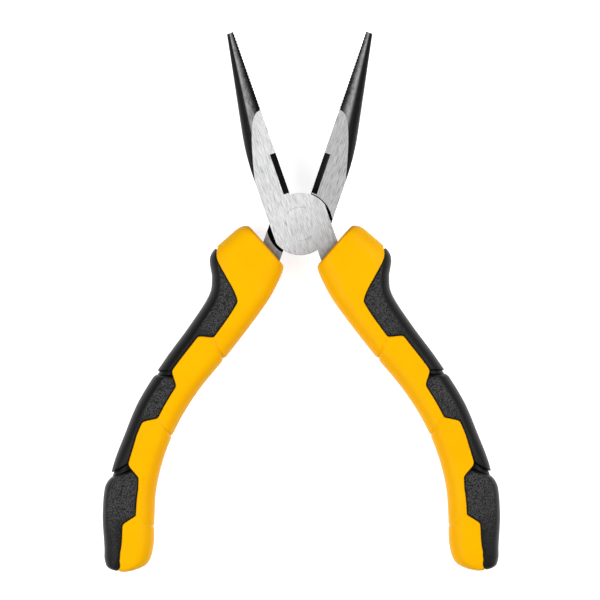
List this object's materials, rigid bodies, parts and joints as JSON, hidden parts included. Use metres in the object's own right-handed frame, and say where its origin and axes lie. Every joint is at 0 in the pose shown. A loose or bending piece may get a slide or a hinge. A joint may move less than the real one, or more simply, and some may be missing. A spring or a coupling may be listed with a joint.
{
  "type": "needle nose pliers",
  "caption": "Riveted long nose pliers with serrated tapered jaws, side cutters, ground joint faces and moulded two-material grips, opening and closing on one pivot.",
  "frame": {"origin": "centre of the rivet's flush head on the back ground face of the joint", "axes": "+Z along the rivet axis from the back face to the front face, +Y from the rivet towards the jaws along the tool's length, +X to the right grip"},
  "size_m": [0.1076, 0.1462, 0.0151],
  "materials": {
    "forged_steel": "joint and jaw flats ground satin, nose and tang black oxide",
    "rivet_steel": "ground flush with the joint",
    "grip_yellow": "smooth satin moulded",
    "grip_black": "soft, fine grained on the flat faces"
  },
  "bodies": {
    "front": {"front_half": "forged_steel", "pivot_rivet": "rivet_steel", "right_grip_sleeve": "grip_yellow", "right_upper_pad": "grip_black", "right_middle_pad": "grip_black", "right_lower_pad": "grip_black"},
    "rear": {"rear_half": "forged_steel", "left_grip_sleeve": "grip_yellow", "left_upper_pad": "grip_black", "left_middle_pad": "grip_black", "left_lower_pad": "grip_black"}
  },
  "joints": [
    {"name": "pivot", "type": "hinge", "parent": "front", "child": "rear", "pos_m": [0, 0, 0.00475], "axis": [0, 0, 1], "range_deg": [-9, 38]}
  ]
}
